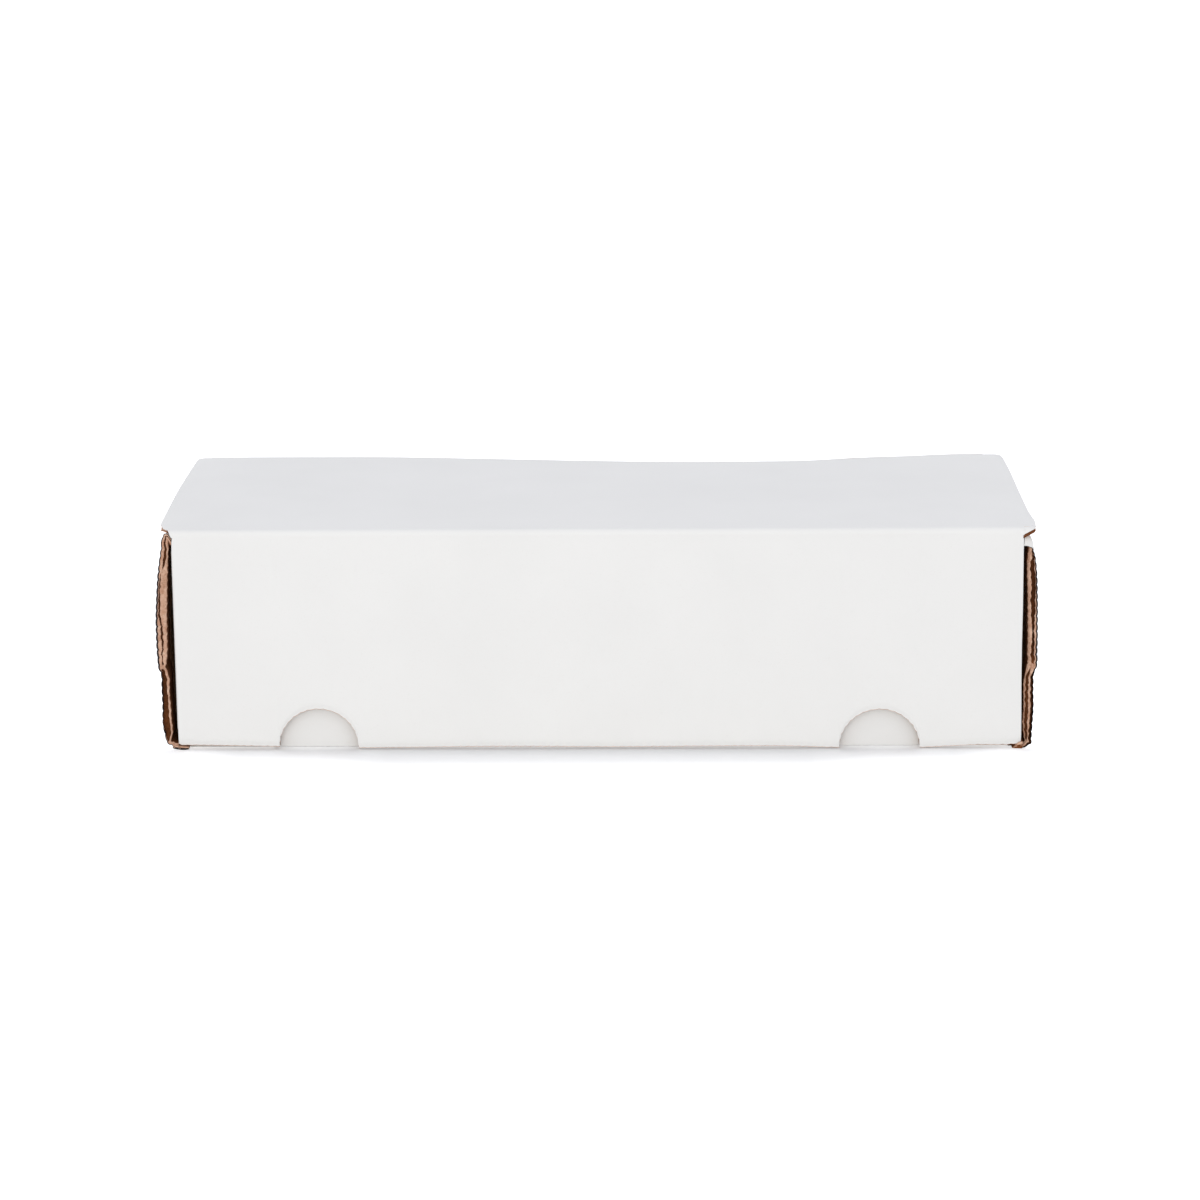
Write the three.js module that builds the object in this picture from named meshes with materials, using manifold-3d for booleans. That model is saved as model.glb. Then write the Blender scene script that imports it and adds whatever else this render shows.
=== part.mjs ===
import * as THREE from "three";
import { mergeVertices } from "three/addons/utils/BufferGeometryUtils.js";
import Module from "manifold-3d";

// A long card box folded from one sheet of single-wall corrugated board.
// Millimetres, +Z up, the front towards -Y, standing on Z = 0.
// Each panel between two folds is one mesh.

const wasm = await Module();
wasm.setup();

// The board and the box it is folded into.
const board = 3;
const boxLength = 289;
const boxDepth = 104;
const boxHeight = 76.5;

// The rounded folds along the base.
const foldRadius = 4;

// Room between panels that move past each other.
const lidRest = 0.2;
const foldGap = 0.3;
const flapBackGap = 0.4;
const flapSideGap = 0.6;
const earGap = 0.4;
const fitGap = 0.2;

// The flap that hangs from the lid, with its two thumb notches.
const flapLift = 1.3;
const flapCornerCut = 2.5;
const notchRadius = 13.5;
const notchSpacing = 188;

// The lid's side edges, and the slanted cuts that free its corners at the folds.
const lidInset = 0.2;
const reliefWidth = 1.9;
const frontRelief = 8;
const backRelief = 6;
const reliefDown = 4;

// The ears folded back from the flap's sides.
const earReach = 28;
const earFloorGap = 2;
const earTopDrop = 6;
const earTaper = 4;
const earSlant = 7;
const earSlotEnd = 1.5;

// The outer ply of an end wall, and the toes of the floor beside it.
const endBow = 2.25;
const endEdgeInset = 0.5;
const lipRadius = 2.7;
const toeGap = 0.3;
const toeThickness = 1;

// The locking tabs of an end wall's inner ply.
const tabWidth = 18;
const tabSpacing = 44;
const tabTaper = 2;
const tabInset = 0.4;

// The dust flaps folded in from the front and back walls.
const dustReach = 36;
const dustTaper = 3;

// How far the outer ply bows out, as a share of endBow, at shares of its height.
const bowShares = [
  [0.12, 0.25],
  [0.22, 0.42],
  [0.32, 0.5],
  [0.37, 0.58],
  [0.41, 0.86],
  [0.52, 1],
  [0.65, 0.88],
  [0.77, 0.5],
  [0.86, 0.18],
  [0.93, 0],
];

// The inner liner bows out less than the outer one, where the board has opened up.
const innerBowShare = 0.45;

// Levels and faces that follow from the sizes above.
const lidUnder = boxHeight - board;
const rimTop = lidUnder - lidRest;
const spineUnder = rimTop - board;
const flapFront = -boxDepth / 2;
const flapBack = flapFront + board;
const wallFront = flapBack + flapBackGap;
const bayFront = wallFront + board;
const wallBack = boxDepth / 2;
const bayBack = wallBack - board;
const bayMiddle = (bayFront + bayBack) / 2;
const endOuter = boxLength / 2;
const endInner = endOuter - board;
const flapHalf = endInner - flapSideGap;
const earInner = flapHalf - board;
const wallHalf = earInner - earGap;
const dustInner = wallHalf - board;
const bayHalf = dustInner - board;
const lidHalf = endOuter - lidInset;
const earBack = flapBack + earReach;
const endFront = flapFront + endEdgeInset;
const endBack = wallBack - endEdgeInset;
const foldInside = foldRadius - board;

const white = { color: 0xeeedeb, roughness: 0.62, metalness: 0 };
const kraft = { color: 0xb98f6c, roughness: 0.85, metalness: 0 };

const box = new THREE.Group();
const tray = new THREE.Group();
const lid = new THREE.Group();
const flap = new THREE.Group();
box.add(tray, lid);
lid.add(flap);

// Turns of a panel drawn flat: level, standing along the box, standing across it.
const level = [0, 0, 0];
const lengthwise = [Math.PI / 2, 0, 0];
const crosswise = [Math.PI / 2, 0, Math.PI / 2];

// A named panel in its group, turned and then moved to its place.
function addPanel(parent, name, look, geometry, turn, place) {
  const mesh = new THREE.Mesh(geometry, new THREE.MeshStandardMaterial(look));
  mesh.name = name;
  mesh.rotation.set(...turn, "ZYX");
  mesh.position.set(...place);
  parent.add(mesh);
}

// An outline's points as vectors.
function toVectors(outline) {
  return outline.map(([u, v]) => new THREE.Vector2(u, v));
}

// A flat outline given a thickness.
function prism(outline, thickness) {
  const shape = new THREE.Shape(toVectors(outline));
  return new THREE.ExtrudeGeometry(shape, { depth: thickness, bevelEnabled: false });
}

// A panel whose edges slant from one outline to another with as many points.
function mitredPanel(near, far) {
  const vectors = toVectors(near);
  const turned = THREE.ShapeUtils.isClockWise(vectors);
  const low = near.map(([u, v]) => [u, v, 0]);
  const high = far.map(([u, v]) => [u, v, board]);
  if (turned) {
    vectors.reverse();
    low.reverse();
    high.reverse();
  }
  const corners = [];
  for (const [i, j, k] of THREE.ShapeUtils.triangulateShape(vectors, [])) {
    corners.push(low[i], low[k], low[j]);
    corners.push(high[i], high[j], high[k]);
  }
  for (let i = 0; i < low.length; i += 1) {
    const j = (i + 1) % low.length;
    corners.push(low[i], low[j], high[j]);
    corners.push(low[i], high[j], high[i]);
  }
  const geometry = new THREE.BufferGeometry();
  geometry.setAttribute("position", new THREE.Float32BufferAttribute(corners.flat(), 3));
  geometry.computeVertexNormals();
  return geometry;
}

// Points on an arc, both ends included.
function arc(cu, cv, radius, fromAngle, toAngle, steps) {
  const points = [];
  for (let i = 0; i <= steps; i += 1) {
    const angle = fromAngle + ((toAngle - fromAngle) * i) / steps;
    points.push([cu + radius * Math.cos(angle), cv + radius * Math.sin(angle)]);
  }
  return points;
}

// A geometry as a solid that can be joined and cut.
function toSolid(geometry) {
  const bare = geometry.clone();
  bare.deleteAttribute("normal");
  bare.deleteAttribute("uv");
  const merged = mergeVertices(bare);
  const vertProperties = merged.attributes.position.array;
  const triVerts = new Uint32Array(merged.index.array);
  return new wasm.Manifold(new wasm.Mesh({ numProp: 3, vertProperties, triVerts }));
}

// The geometry of a solid after its joins and cuts.
function toGeometry(solid) {
  const mesh = solid.getMesh();
  const geometry = new THREE.BufferGeometry();
  geometry.setAttribute("position", new THREE.BufferAttribute(mesh.vertProperties, 3));
  geometry.setIndex(new THREE.BufferAttribute(mesh.triVerts, 1));
  geometry.computeVertexNormals();
  return geometry;
}

// One crushed toe of the floor, under the flap's corner.
function floorToe(end, inside, outside, root) {
  const outline = [
    [end * inside, endFront],
    [end * outside, endFront],
    [end * outside, root],
    [end * inside, root],
  ];
  return toSolid(prism(outline, toeThickness));
}

// The hole in the floor that one locking tab stands in.
function tabSlot(end, tab) {
  const slot = new THREE.BoxGeometry(board + 2 * fitGap, tabWidth + 2 * fitGap, 4 * board);
  slot.translate((end * (bayHalf + dustInner)) / 2, bayMiddle + (tab * tabSpacing) / 2, 0);
  return toSolid(slot);
}

// The floor of the box, between the rounded folds of its walls.
function addBottom() {
  const toe = wallHalf + toeGap;
  const edge = endOuter - foldRadius;
  const front = wallFront + foldRadius;
  const back = wallBack - foldRadius;
  const toeRoot = flapBack + fitGap;
  const right = [
    [toe, front],
    [toe, toeRoot],
    [edge, toeRoot],
    [edge, endBack],
    [toe, endBack],
    [toe, back],
  ];
  const left = right.map(([x, y]) => [-x, y]).reverse();
  let solid = toSolid(prism([...right, ...left], board));
  for (const end of [-1, 1]) {
    solid = solid.add(floorToe(end, toe, edge, toeRoot + board));
    for (const tab of [-1, 1]) {
      solid = solid.subtract(tabSlot(end, tab));
    }
  }
  addPanel(tray, "bottom_panel", kraft, toGeometry(solid), level, [0, 0, 0]);
}

// The front wall, rounded into the floor at its foot.
function addFrontWall() {
  const steps = 6;
  const fold = wallFront + foldRadius;
  const profile = [
    ...arc(fold, foldRadius, foldRadius, -Math.PI / 2, -Math.PI, steps),
    [wallFront, rimTop],
    [bayFront, rimTop],
    ...arc(fold, foldRadius, foldInside, -Math.PI, -Math.PI / 2, steps),
  ];
  addPanel(tray, "front_wall", white, prism(profile, 2 * wallHalf), crosswise, [-wallHalf, 0, 0]);
}

// The back wall, mitred at its top where the lid folds over.
function addBackWall() {
  const steps = 6;
  const fold = wallBack - foldRadius;
  const profile = [
    ...arc(fold, foldRadius, foldRadius, -Math.PI / 2, 0, steps),
    [wallBack, boxHeight],
    [bayBack, lidUnder],
    ...arc(fold, foldRadius, foldInside, 0, -Math.PI / 2, steps),
  ];
  addPanel(tray, "back_wall", white, prism(profile, 2 * wallHalf), crosswise, [-wallHalf, 0, 0]);
}

// The lid's outline at one face, its front and back edges at the depths given.
function lidOutline(front, back) {
  const corner = flapHalf + reliefWidth;
  const right = [
    [corner, front],
    [lidHalf, flapFront + frontRelief],
    [lidHalf, wallBack - backRelief],
    [corner, back],
  ];
  const left = right.map(([x, y]) => [-x, y]).reverse();
  return [...right, ...left];
}

// The lid, mitred where it folds down into the flap and the back wall.
function addLid() {
  const under = lidOutline(flapBack + foldGap, bayBack - foldGap);
  const over = lidOutline(flapFront, wallBack);
  addPanel(lid, "lid_panel", white, mitredPanel(under, over), level, [0, 0, lidUnder]);
}

// One thumb notch in the flap's lower edge.
function notch(side) {
  return arc((side * notchSpacing) / 2, flapLift, notchRadius, Math.PI, 0, 24);
}

// The flap's outline at one face, with its fold at the height given.
function flapOutline(top) {
  const shoulder = boxHeight - reliefDown;
  const corner = flapHalf + (reliefWidth * (top - shoulder)) / reliefDown;
  const cut = flapHalf - flapCornerCut;
  return [
    [corner, top],
    [-corner, top],
    [-flapHalf, shoulder],
    [-flapHalf, flapLift + flapCornerCut],
    [-cut, flapLift],
    ...notch(-1),
    ...notch(1),
    [cut, flapLift],
    [flapHalf, flapLift + flapCornerCut],
    [flapHalf, shoulder],
  ];
}

// The front flap that hangs from the lid.
function addFlap() {
  const geometry = mitredPanel(flapOutline(lidUnder), flapOutline(boxHeight));
  addPanel(flap, "lid_front_flap", white, geometry, lengthwise, [0, flapBack, 0]);
}

// An ear folded back from one side of the flap.
function addEar(label, end) {
  const top = boxHeight - earTopDrop;
  const low = board + earFloorGap;
  const outline = [
    [flapBack, low],
    [earBack - earTaper, low + earSlant],
    [earBack, low + earSlant + earTaper],
    [earBack, top - 2 * earTaper],
    [earBack - earTaper, top - earTaper],
    [flapBack, top],
  ];
  const inner = end > 0 ? earInner : -flapHalf;
  addPanel(flap, "flap_ear_" + label, kraft, prism(outline, board), crosswise, [inner, 0, 0]);
}

// One bowed face of the outer ply, as distances from the middle and heights.
function bowedFace(distance, bow) {
  return bowShares.map(([heightShare, bowShare]) => [distance + bowShare * bow, heightShare * rimTop]);
}

// The outer ply of one end wall, rounded into the floor at its foot.
function addOuterPly(label, end) {
  const steps = 6;
  const fold = endOuter - foldRadius;
  const profile = [
    ...arc(fold, foldRadius, foldRadius, -Math.PI / 2, 0, steps),
    ...bowedFace(endOuter, endBow),
    ...arc(endOuter - lipRadius, rimTop - lipRadius, lipRadius, 0, Math.PI / 2, steps),
    [endInner, rimTop],
    ...bowedFace(endInner, innerBowShare * endBow).reverse(),
    ...arc(fold, foldRadius, foldInside, 0, -Math.PI / 2, steps),
  ].map(([x, z]) => [end * x, z]);
  const geometry = prism(profile, endBack - endFront);
  addPanel(tray, "end_wall_outer_" + label, white, geometry, lengthwise, [0, endBack, 0]);
}

// The strip over the top of one end wall, cut back where the ear comes down.
function addTopStrip(label, end) {
  const slot = earBack + earSlotEnd;
  const outline = [
    [bayHalf, bayFront],
    [wallHalf, bayFront],
    [wallHalf, slot],
    [endInner, slot],
    [endInner, bayBack],
    [bayHalf, bayBack],
  ].map(([x, y]) => [end * x, y]);
  addPanel(tray, "end_wall_top_" + label, white, prism(outline, board), level, [0, 0, spineUnder]);
}

// The inner ply of one end wall, with two tabs that stand in the floor's slots.
function addInnerPly(label, end) {
  const front = bayFront + foldInside;
  const back = bayBack - foldInside;
  const outline = [
    [back, board],
    [back, spineUnder],
    [front, spineUnder],
    [front, board],
  ];
  for (const tab of [-1, 1]) {
    const centre = bayMiddle + (tab * tabSpacing) / 2;
    outline.push([centre - tabWidth / 2, board]);
    outline.push([centre - tabWidth / 2 + tabTaper, tabInset]);
    outline.push([centre + tabWidth / 2 - tabTaper, tabInset]);
    outline.push([centre + tabWidth / 2, board]);
  }
  const inner = end > 0 ? bayHalf : -dustInner;
  addPanel(tray, "end_wall_inner_" + label, white, prism(outline, board), crosswise, [inner, 0, 0]);
}

// A dust flap folded in from one end of the front or back wall.
function addDustFlap(label, end, wall, root, inward) {
  const tip = root + inward * dustReach;
  const outline = [
    [root, foldRadius],
    [tip, board + dustTaper],
    [tip, spineUnder - dustTaper],
    [root, spineUnder - fitGap],
  ];
  const inner = end > 0 ? dustInner : -wallHalf;
  const name = "dust_flap_" + wall + "_" + label;
  addPanel(tray, name, kraft, prism(outline, board), crosswise, [inner, 0, 0]);
}

addBottom();
addFrontWall();
addBackWall();
addLid();
addFlap();
for (const [label, end] of [["left", -1], ["right", 1]]) {
  addEar(label, end);
  addOuterPly(label, end);
  addTopStrip(label, end);
  addInnerPly(label, end);
  addDustFlap(label, end, "front", bayFront, 1);
  addDustFlap(label, end, "back", bayBack, -1);
}

export default box;
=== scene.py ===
"""Looks for a card storage box of corrugated board: panels, creases, cut edges and finishes."""

import math

import bmesh
import bpy
import numpy as np
from mathutils import Matrix, Vector


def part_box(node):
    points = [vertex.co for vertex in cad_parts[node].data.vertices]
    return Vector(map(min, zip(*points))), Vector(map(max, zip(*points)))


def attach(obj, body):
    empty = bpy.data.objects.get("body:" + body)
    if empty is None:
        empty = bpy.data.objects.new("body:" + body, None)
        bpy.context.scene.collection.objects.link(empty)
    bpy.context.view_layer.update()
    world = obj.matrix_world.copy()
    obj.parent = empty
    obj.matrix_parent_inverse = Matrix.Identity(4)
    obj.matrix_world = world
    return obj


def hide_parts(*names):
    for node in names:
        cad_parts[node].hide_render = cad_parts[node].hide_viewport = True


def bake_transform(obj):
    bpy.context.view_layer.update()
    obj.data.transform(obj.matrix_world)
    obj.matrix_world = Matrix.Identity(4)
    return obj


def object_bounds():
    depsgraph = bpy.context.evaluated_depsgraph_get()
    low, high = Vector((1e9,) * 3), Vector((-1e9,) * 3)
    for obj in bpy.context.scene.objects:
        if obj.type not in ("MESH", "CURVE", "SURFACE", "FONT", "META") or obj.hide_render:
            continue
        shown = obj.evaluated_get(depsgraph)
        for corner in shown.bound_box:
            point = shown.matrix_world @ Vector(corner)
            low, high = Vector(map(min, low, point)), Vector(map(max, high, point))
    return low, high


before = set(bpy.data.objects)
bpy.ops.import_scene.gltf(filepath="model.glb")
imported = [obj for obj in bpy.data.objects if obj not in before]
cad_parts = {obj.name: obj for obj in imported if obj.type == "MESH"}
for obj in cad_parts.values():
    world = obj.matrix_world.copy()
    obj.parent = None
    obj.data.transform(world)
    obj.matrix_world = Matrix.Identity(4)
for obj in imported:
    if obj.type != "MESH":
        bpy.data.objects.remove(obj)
cad_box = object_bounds()

MM = 0.001

# The board: its thickness, its liners and wavy sheet, its flutes, and the teeth of its cut edges.
BOARD = 3 * MM
LINER = 0.36 * MM
SHEET = 0.24 * MM
FLUTE = 6.3 * MM
TOOTH = 2.7 * MM
TOOTH_DEPTH = 0.3 * MM

# The creases that turn: their radius, the flat stretch beside them, how thick the crushed
# board is there, and how far out it is crushed.
CREASE = 1.7 * MM
LEAD = 0.6 * MM
FOLD = CREASE + LEAD
CRUSHED = 0.9 * MM
CRUSH_REACH = 3.5 * MM

# The other folds: the radius of upright corners and at the long walls' foot, and for the left
# and right end walls the radius at the floor and the height of the curve under the lid.
CORNER = 1.2 * MM
WALL_BASE = 0.4 * MM
BASES = {-1: 4 * MM, 1: 2.4 * MM}
LIPS = {-1: 2.4 * MM, 1: 2.6 * MM}

# Cut edges are pinched by the knife, and their core lies a little deeper than the liners.
PINCH = 0.7 * MM
PINCH_REACH = 2.2 * MM
RECESS = 0.6 * MM

# The locking tabs: how far they stand from the middle, half their width, their bevel, the
# step at their sides, and the room in their slots.
TAB_PLACE = 22 * MM
TAB_HALF = 9 * MM
TAB_BEVEL = 2 * MM
TAB_STEP = 0.02 * MM
TAB_ROOM = 0.2 * MM

LABELS = {-1: "left", 1: "right"}
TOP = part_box("lid_panel")[1].z
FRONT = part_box("lid_front_flap")[0].y
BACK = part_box("back_wall")[1].y
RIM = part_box("end_wall_top_left")[1].z
WALL_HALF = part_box("front_wall")[1].x


# Shapes of lines.

# Chance values repeat after this many steps, and begin this many steps back.
CHANCES = 997
CHANCE_START = 400


def curve(x, pairs):
    """A smooth line through pairs of place and value."""
    place, value = np.array(pairs, float).T
    slope = np.gradient(value, place)
    x = np.clip(x, place[0], place[-1])
    i = np.clip(np.searchsorted(place, x, side="right") - 1, 0, len(place) - 2)
    span = place[i + 1] - place[i]
    t = (x - place[i]) / span
    start = (1 + 2 * t) * (1 - t) ** 2 * value[i] + t * (1 - t) ** 2 * span * slope[i]
    end = t * t * (3 - 2 * t) * value[i + 1] + t * t * (t - 1) * span * slope[i + 1]
    return start + end


def straight(x, pairs):
    """Straight stretches through pairs of place and value, in millimetres."""
    return np.interp(x / MM, *np.array(pairs, float).T) * MM


def noise(x, pitch, seed):
    """Smooth chance values from -1 to 1 along a line."""
    values = np.random.default_rng(seed).uniform(-1, 1, CHANCES)
    place = np.asarray(x) / pitch + CHANCE_START
    i = np.floor(place).astype(int)
    t = place - i
    t = t * t * (3 - 2 * t)
    return values[i % CHANCES] * (1 - t) + values[(i + 1) % CHANCES] * t


def fall(distance, reach):
    """1 at no distance, easing to 0 at reach."""
    t = np.clip(np.asarray(distance) / reach, 0, 1)
    return 1 - t * t * (3 - 2 * t)


def teeth(s, seed):
    """How far a toothed knife's edge dips at places along it."""
    place = np.asarray(s) / TOOTH + CHANCE_START
    i = np.floor(place).astype(int)
    depth = np.random.default_rng(seed).uniform(0.55, 1, CHANCES)[i % CHANCES]
    return TOOTH_DEPTH * depth * (1 - abs(np.sin(math.pi * (place - i))) ** 0.7)


def spread(start, end, step, fine_start=False, fine_end=False):
    """Places from start to end, closer together at an edge that needs it."""
    edge = np.array([0, 0.3, 0.7, 1.2, 1.8, 2.6, 3.6, 5]) * MM
    sign = 1 if end > start else -1
    low = start + sign * edge if fine_start else np.array([start])
    high = end - sign * edge[::-1] if fine_end else np.array([end])
    count = max(2, int(abs(high[0] - low[-1]) / step) + 1)
    middle = np.linspace(low[-1], high[0], count + 1)[1:-1]
    return np.hstack([low, middle, high])


def shares_of(length, step):
    """Shares from 0 to 1 of a length, closer together at both its ends."""
    return spread(0, length, step, True, True) / length


def travel(out, up):
    """How far along a profile each of its points lies."""
    return np.hstack([[0], np.cumsum(np.hypot(np.diff(out), np.diff(up)))])


def rounded(distance, radius):
    """How far a round corner stands back at a distance from its side."""
    flatness = np.clip(distance / radius, 0, 1)
    return radius * (1 - np.sqrt(1 - (1 - flatness) ** 2))


def round_foot(distance, radius, points, heights):
    """A face with a round foot and then given heights, as distances out and heights up."""
    angles = np.linspace(-math.pi / 2, 0, points)
    out = np.hstack([distance - radius + radius * np.cos(angles), np.full(len(heights), distance)])
    return out, np.hstack([radius + radius * np.sin(angles), heights])


def columns(out, up):
    """A profile as columns: how far along it lies, directions to the inside, and itself."""
    across, rise = np.gradient(out), np.gradient(up)
    length = np.hypot(across, rise)
    values = travel(out, up), -rise / length, across / length, out, up
    return [value[:, None] for value in values]


def thickness(pinch, from_fold):
    """The board's thickness where it is pinched or near a fold."""
    crushed = (BOARD - CRUSHED) * fall(from_fold, CRUSH_REACH)
    return BOARD - pinch - np.minimum(crushed, BOARD - CRUSHED - pinch)


def stack(*coordinates):
    """Grids of coordinates as one grid of points."""
    return np.stack(np.broadcast_arrays(*coordinates), -1).astype(float)


# Meshes.


def in_scene(name, data):
    """A new object in the scene."""
    made = bpy.data.objects.new(name, data)
    bpy.context.scene.collection.objects.link(made)
    return made


# Points this close are one, sides this short are taken out, and sharper bends show as edges.
WELD = 0.002 * MM
SHORT = 0.001 * MM
SHARP = math.radians(38)


class Piece:
    """The faces of one piece, gathered as grids, each with a finish."""

    def __init__(self):
        self.points, self.flats, self.faces, self.finishes = [], [], [], []
        self.count = 0

    def grid(self, points, flat, finish):
        """A grid of points, its places on the flat sheet, and its finish or its faces' finishes."""
        rows, columns = points.shape[:2]
        index = np.arange(rows * columns).reshape(rows, columns) + self.count
        quads = np.stack([index[:-1, :-1], index[1:, :-1], index[1:, 1:], index[:-1, 1:]], -1)
        self.points.append(points.reshape(-1, 3))
        self.flats.append(flat.reshape(-1, 2))
        self.faces.append(quads.reshape(-1, 4))
        self.finishes += np.broadcast_to(finish, quads.shape[:2]).ravel().tolist()
        self.count += rows * columns

    def plate(self, outer, inner, flat, kinds, outside="white", inside="kraft"):
        """A panel between two grids, with a kind of rim, or none, for its first and last row
        and its first and last column."""
        self.grid(outer, flat, outside)
        self.grid(inner, flat, inside)
        rows = outer, inner, flat
        columns = [grid.swapaxes(0, 1) for grid in rows]
        sides = rows, [grid[::-1] for grid in rows], columns, [grid[::-1] for grid in columns]
        for side, kind in zip(sides, kinds):
            if kind:
                self.rim(*side, kind, outside)

    def rim(self, outer, inner, flat, kind, outside):
        """The edge of a panel, from its outer to its inner face."""
        top, bottom = outer[0], inner[0]
        through = bottom - top
        across = flat[0][:, 1]
        if kind == "cut":
            into = outer[2] + inner[2] - top - bottom
            into /= np.linalg.norm(into, axis=1, keepdims=True)
            share = LINER / np.maximum(np.linalg.norm(through, axis=1), LINER)
            skin = through * np.minimum(share, 0.3)[:, None]
            deep = into * RECESS
            lines = [top, top + skin, top + skin + deep, bottom - skin + deep, bottom - skin, bottom]
            depths = [0, LINER, LINER, BOARD - LINER, BOARD - LINER, BOARD]
            finishes = ["edge", "core", "core", "core", "edge"]
        else:
            lines, depths = [top, bottom], [0, BOARD]
            finishes = [{"fold": outside, "dark": "medium", "kraft": "kraft"}[kind]]
        for i, finish in enumerate(finishes):
            depth = np.array(depths[i:i + 2])[:, None]
            self.grid(np.stack(lines[i:i + 2]), stack(across, depth), finish)

    def sheet(self, top, bottom, flat, outside, inside, edge):
        """A thin sheet between two grids, closed all round."""
        self.grid(top, flat, outside)
        self.grid(bottom, flat, inside)
        for side in np.s_[0], np.s_[-1], np.s_[:, 0], np.s_[:, -1]:
            self.grid(np.stack([top[side], bottom[side]]), np.stack([flat[side]] * 2), edge)

    def build(self, name):
        """The piece as an object, its grids joined along their shared edges."""
        mesh = bpy.data.meshes.new(name)
        faces = np.vstack(self.faces)
        flats = np.vstack(self.flats)
        mesh.from_pydata(np.vstack(self.points).tolist(), [], faces.tolist())
        sheet = mesh.uv_layers.new(name="sheet")
        sheet.data.foreach_set("uv", flats[faces.reshape(-1)].astype(np.float32).ravel())
        names = sorted(set(self.finishes))
        for finish in names:
            mesh.materials.append(FINISHES[finish])
        numbers = np.array([names.index(finish) for finish in self.finishes], np.int32)
        mesh.polygons.foreach_set("material_index", numbers)
        solid = bmesh.new()
        solid.from_mesh(mesh)
        bmesh.ops.remove_doubles(solid, verts=solid.verts, dist=WELD)
        bmesh.ops.dissolve_degenerate(solid, edges=solid.edges, dist=SHORT)
        bmesh.ops.recalc_face_normals(solid, faces=solid.faces)
        solid.to_mesh(mesh)
        solid.free()
        mesh.shade_smooth()
        mesh.set_sharp_from_angle(angle=SHARP)
        piece = in_scene(name, mesh)
        return piece


# Finishes.


def linear(display):
    """A colour given in display values from 0 to 255."""
    def lift(c):
        return c / 12.92 if c <= 0.04045 else ((c + 0.055) / 1.055) ** 2.4
    return (*(lift(c / 255) for c in display), 1)


class Nodes:
    """A short way to write the nodes of a new material, or of another owner."""

    def __init__(self, name, owner=None):
        self.owner = owner or bpy.data.materials.new(name)
        self.owner.use_nodes = True
        self.tree = self.owner.node_tree

    def put(self, node, key, value):
        """A value, or another node's output, on an input."""
        if isinstance(value, bpy.types.NodeSocket):
            self.tree.links.new(value, node.inputs[key])
        else:
            node.inputs[key].default_value = value

    def add(self, kind, *values, **named):
        """A new node, its inputs given in their order or by name."""
        node = self.tree.nodes.new("ShaderNode" + kind)
        for key, value in (*enumerate(values), *named.items()):
            self.put(node, key, value)
        return node

    def value(self, kind, *values, **named):
        """The first output of a new node."""
        return self.add(kind, *values, **named).outputs[0]

    def math(self, operation, a, b=0.0, c=0.0):
        """The output of a sum."""
        node = self.add("Math", a, b, c)
        node.operation = operation
        return node.outputs[0]

    def mix(self, share, *colours):
        """Two colours mixed, each a node's output or display values."""
        node = self.add("Mix")
        node.data_type = "RGBA"
        self.put(node, 0, share)
        for key, colour in zip((6, 7), colours):
            self.put(node, key, linear(colour) if isinstance(colour, tuple) else colour)
        return node.outputs[2]

    def sheet(self):
        """The place on the flat sheet, along and across the flutes, in metres."""
        return self.add("SeparateXYZ", self.value("UVMap")).outputs[:2]

    def flutes(self, across):
        """The wave of the flutes, from -1 to 1."""
        return self.math("SINE", self.math("MULTIPLY", across, 2 * math.pi / FLUTE))

    def spots(self, scale, detail):
        """Chance values from 0 to 1 all over the piece; scale is in spots a metre."""
        place = self.add("TexCoord").outputs["Object"]
        return self.value("TexNoise", Vector=place, Scale=scale, Detail=detail)

    def clip(self, value, low=0.3, high=0.7, first=0, last=1, kind="LINEAR"):
        """First up to low and last from high on, and what lies between for values between."""
        node = self.add("MapRange", value, low, high, first, last)
        node.interpolation_type = kind
        return node.outputs[0]

    def bump(self, height, distance, strength=1.0, below=None):
        """A relief, on top of the one below."""
        node = self.add("Bump", Height=height, Distance=distance, Strength=strength)
        if below is not None:
            self.put(node, "Normal", below)
        return node.outputs[0]

    def paper(self, colour, roughness, gloss, relief):
        """The material, with these on its shader."""
        shader = self.tree.nodes["Principled BSDF"]
        keys = "Base Color", "Roughness", "Specular IOR Level", "Normal"
        for key, value in zip(keys, (colour, roughness, gloss, relief)):
            self.put(shader, key, value)
        return self.owner


def white_liner():
    """White coated paper: fibres, a faint print of the flutes, and fine streaks along them."""
    n = Nodes("white_liner")
    along, across = n.sheet()
    fibres = n.spots(1800, 2)
    cloud = n.spots(35, 3)
    long, narrow = n.math("MULTIPLY", along, 8), n.math("MULTIPLY", across, 700)
    place = n.value("CombineXYZ", long, narrow)
    streaks = n.value("TexNoise", Vector=place, Scale=1, Detail=2)
    colour = n.mix(n.clip(cloud), (240, 239, 237), (238, 237, 235))
    colour = n.mix(n.clip(fibres, 0.62, 0.75, 0, 0.35), colour, (232, 230, 227))
    relief = n.bump(n.flutes(across), 0.006 * MM)
    relief = n.bump(streaks, 0.02 * MM, 0.5, relief)
    relief = n.bump(fibres, 0.02 * MM, 0.5, relief)
    return n.paper(colour, n.clip(cloud, 0, 1, 0.5, 0.6), 0.3, relief)


def kraft_liner():
    """Bare brown paper: long fibres, cloudy tone, and glue lines at the flutes."""
    n = Nodes("kraft_liner")
    fibres = n.spots(900, 4)
    cloud = n.spots(60, 4)
    flecks = n.spots(2600, 1)
    wave = n.flutes(n.sheet()[1])
    colour = n.mix(n.clip(cloud), (190, 152, 120), (172, 132, 100))
    colour = n.mix(n.clip(fibres, 0.4, 0.75, 0, 0.5), colour, (150, 112, 82))
    colour = n.mix(n.clip(flecks, 0.66, 0.8, 0, 0.5), colour, (120, 84, 58))
    colour = n.mix(n.clip(wave, 0.2, 1, 0, 0.14), colour, (140, 102, 74))
    return n.paper(colour, 0.85, 0.2, n.bump(fibres, 0.06 * MM, 0.6, n.bump(wave, 0.03 * MM)))


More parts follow.
